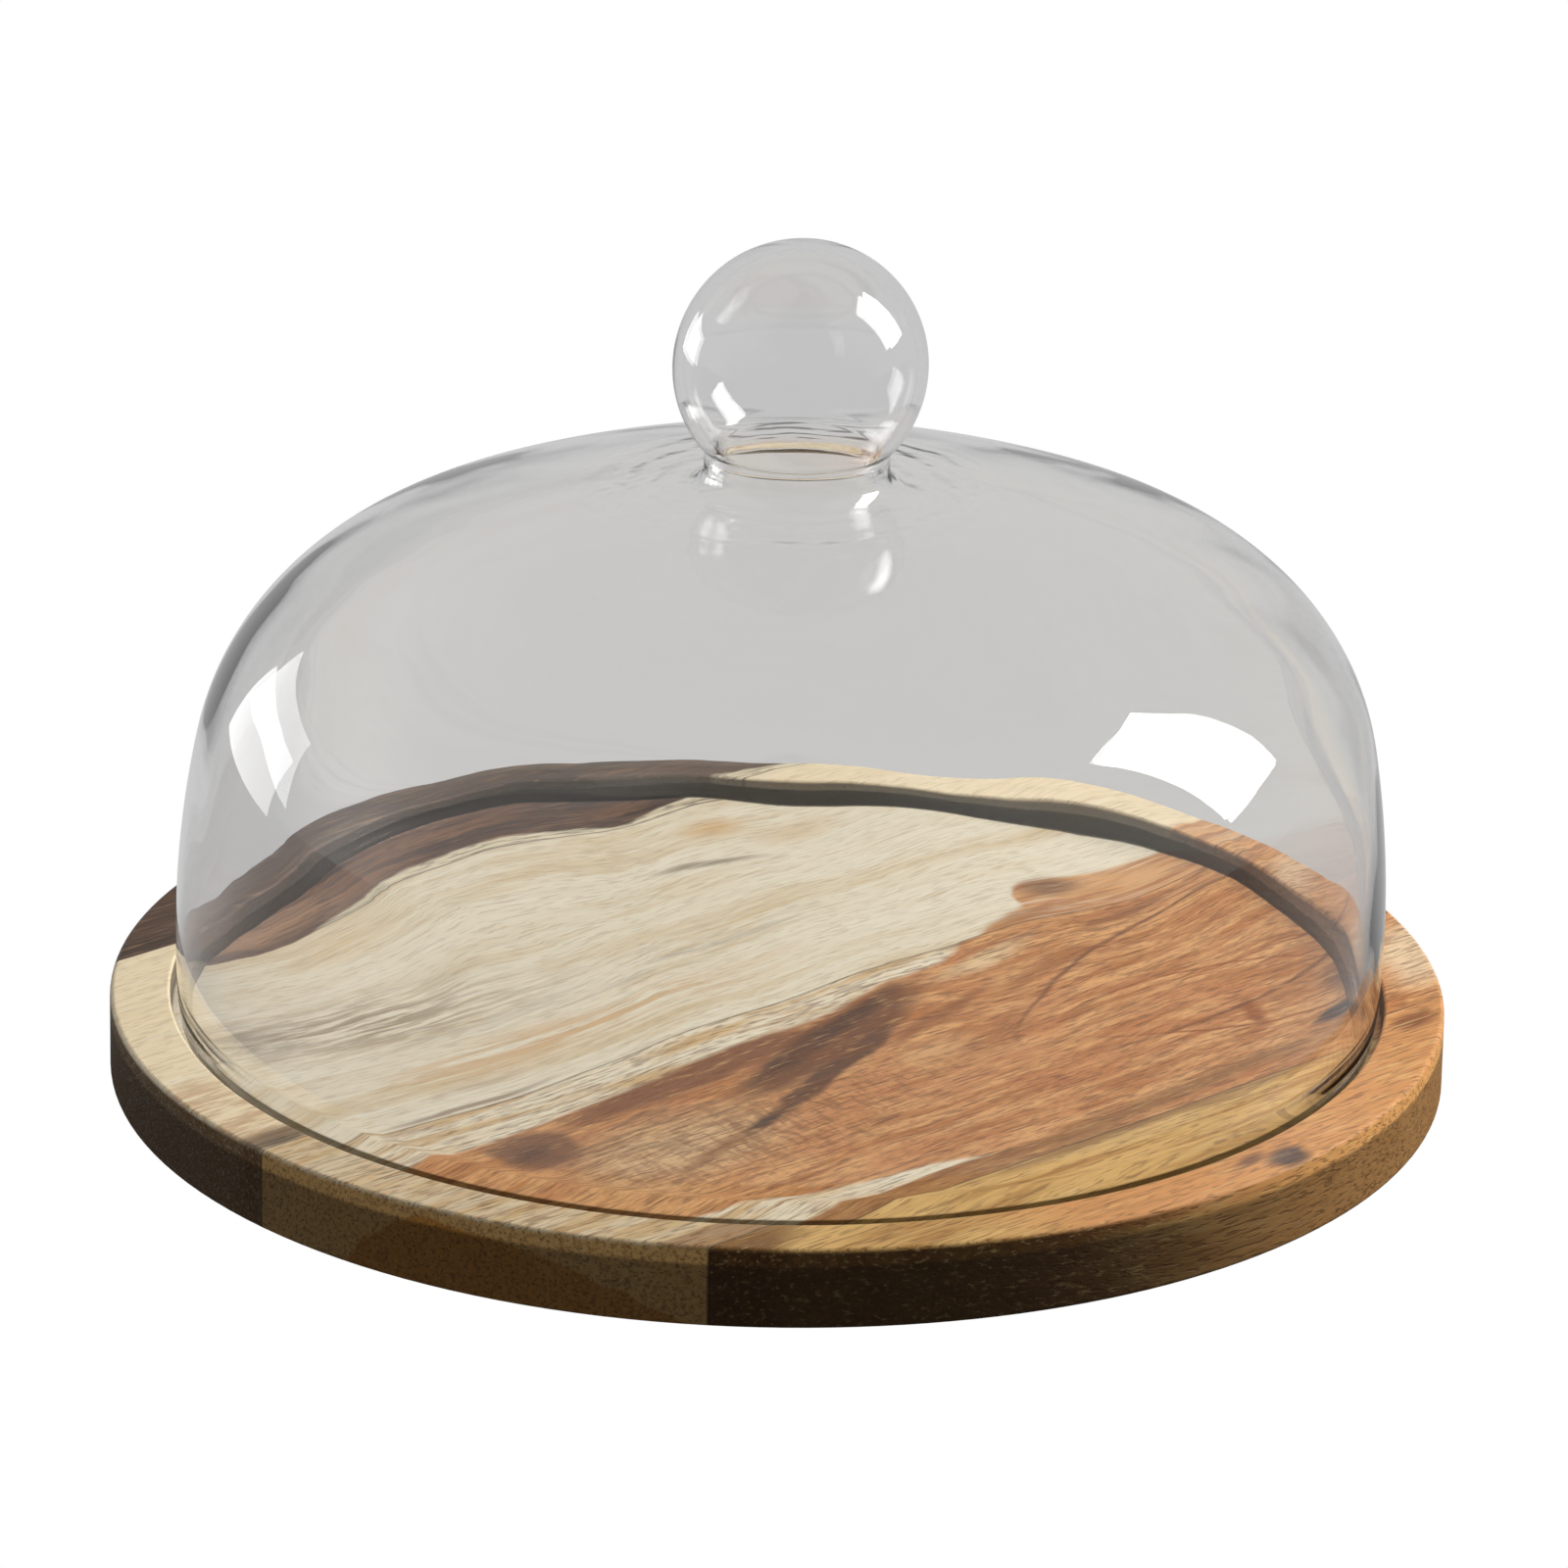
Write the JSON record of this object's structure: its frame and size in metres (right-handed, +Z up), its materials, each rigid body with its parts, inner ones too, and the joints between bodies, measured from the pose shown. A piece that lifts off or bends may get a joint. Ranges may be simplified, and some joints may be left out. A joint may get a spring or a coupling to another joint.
{
  "type": "glass food dome with board",
  "caption": "Clear blown-glass dome with a hollow ball knob, standing in the shallow recess of a round wooden serving board glued up from planks.",
  "frame": {"origin": "centre of the board's flat underside", "axes": "+Z up along the dome's axis of symmetry; the board's planks and their grain run along X; +Y points to the dark back plank"},
  "size_m": [0.3, 0.3, 0.1932],
  "materials": {
    "clear_glass": "clear hand-blown glass with faint waves and seeds",
    "dark_heartwood": "oiled satin acacia, dark reddish-brown heartwood",
    "pale_sapwood": "oiled satin acacia, cream sapwood with grey-brown streaks",
    "orange_heartwood": "oiled satin acacia, orange-brown heartwood with a cream sapwood edge",
    "olive_heartwood": "oiled satin acacia, golden-olive heartwood with dark streaks"
  },
  "bodies": {
    "board": {"back_stave": "dark_heartwood", "pale_stave": "pale_sapwood", "heart_stave": "orange_heartwood", "front_stave": "olive_heartwood"},
    "dome": {"glass_dome": "clear_glass", "glass_knob": "clear_glass"}
  },
  "joints": [
    {"name": "dome_lift", "type": "slide", "parent": "board", "child": "dome", "axis": [0, 0, 1], "range_m": [0, 0.2]}
  ]
}
